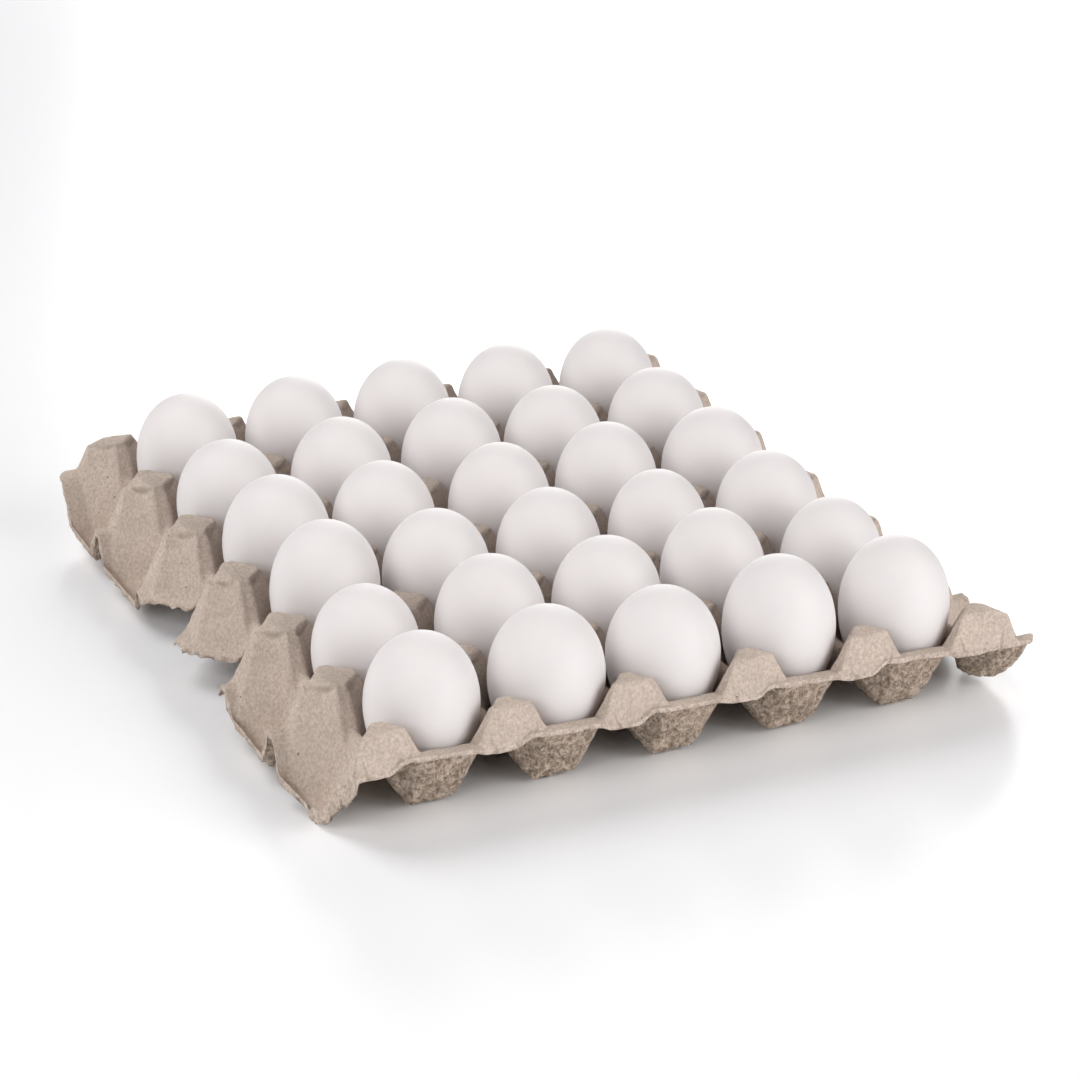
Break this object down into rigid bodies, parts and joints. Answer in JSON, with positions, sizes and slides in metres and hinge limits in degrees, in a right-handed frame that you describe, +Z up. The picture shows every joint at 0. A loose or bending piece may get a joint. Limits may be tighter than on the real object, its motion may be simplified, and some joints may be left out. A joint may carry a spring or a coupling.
{
  "type": "egg tray with eggs",
  "caption": "Open moulded-pulp egg tray: a grid of cups between pyramid posts, cut rims and finger notches at the sides, holding white eggs on their narrow ends.",
  "frame": {"origin": "middle of the tray, on the surface that its feet stand on", "axes": "+Z up, +X along the short row of cups at the front edge, +Y from the front edge to the back edge"},
  "size_m": [0.286, 0.2932, 0.066],
  "materials": {
    "moulded_pulp": "matt grey-beige paper pulp, felted on top and rough beneath",
    "eggshell": "white eggshell, satin"
  },
  "bodies": {
    "root": {"tray": "moulded_pulp", "egg_11": "eggshell", "egg_12": "eggshell", "egg_13": "eggshell", "egg_14": "eggshell", "egg_15": "eggshell", "egg_21": "eggshell", "egg_22": "eggshell", "egg_23": "eggshell", "egg_24": "eggshell", "egg_25": "eggshell", "egg_31": "eggshell", "egg_32": "eggshell", "egg_33": "eggshell", "egg_34": "eggshell", "egg_35": "eggshell", "egg_41": "eggshell", "egg_42": "eggshell", "egg_43": "eggshell", "egg_44": "eggshell", "egg_45": "eggshell", "egg_51": "eggshell", "egg_52": "eggshell", "egg_53": "eggshell", "egg_54": "eggshell", "egg_55": "eggshell", "egg_61": "eggshell", "egg_62": "eggshell", "egg_63": "eggshell", "egg_64": "eggshell", "egg_65": "eggshell"}
  },
  "joints": []
}
